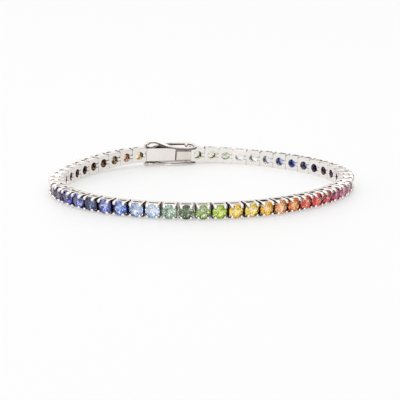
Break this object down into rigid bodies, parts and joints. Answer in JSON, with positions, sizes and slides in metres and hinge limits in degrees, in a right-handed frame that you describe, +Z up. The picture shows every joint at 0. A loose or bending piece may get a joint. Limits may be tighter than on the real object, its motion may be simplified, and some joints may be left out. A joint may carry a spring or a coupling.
{
  "type": "tennis bracelet",
  "caption": "Tennis bracelet lying on its edge: an oval line of square open links, each set with a round cut stone, closed by a box clasp with figure-eight safety latches.",
  "frame": {"origin": "the middle of the bracelet's footprint, on the surface that it lies on", "axes": "+Z up off the surface, +X along the front of the oval to the right, -Y towards the front, with the clasp at the back left"},
  "size_m": [0.0668, 0.0584, 0.0056],
  "materials": {
    "white_gold": "rhodium plated white gold, mirror polished",
    "white_gold_wire": "drawn white gold wire, polished",
    "sapphire": "faceted sapphire in the hues of a rainbow, polished"
  },
  "bodies": {
    "bracelet": {"link_line_box_side": "white_gold", "link_line_tongue_side": "white_gold", "clasp_box": "white_gold", "clasp_tongue": "white_gold"},
    "upper_latch": {"safety_latch_upper": "white_gold_wire"},
    "lower_latch": {"safety_latch_lower": "white_gold_wire"}
  },
  "joints": [
    {"name": "upper_latch_hinge", "type": "hinge", "parent": "bracelet", "child": "upper_latch", "pos_m": [-0.01283, 0.02197, 0.00472], "axis": [0.3719, -0.9283, 0], "range_deg": [0, 110]},
    {"name": "lower_latch_hinge", "type": "hinge", "parent": "bracelet", "child": "lower_latch", "pos_m": [-0.01297, 0.02192, 0.00069], "axis": [-0.3719, 0.9283, 0], "range_deg": [0, 110]}
  ]
}
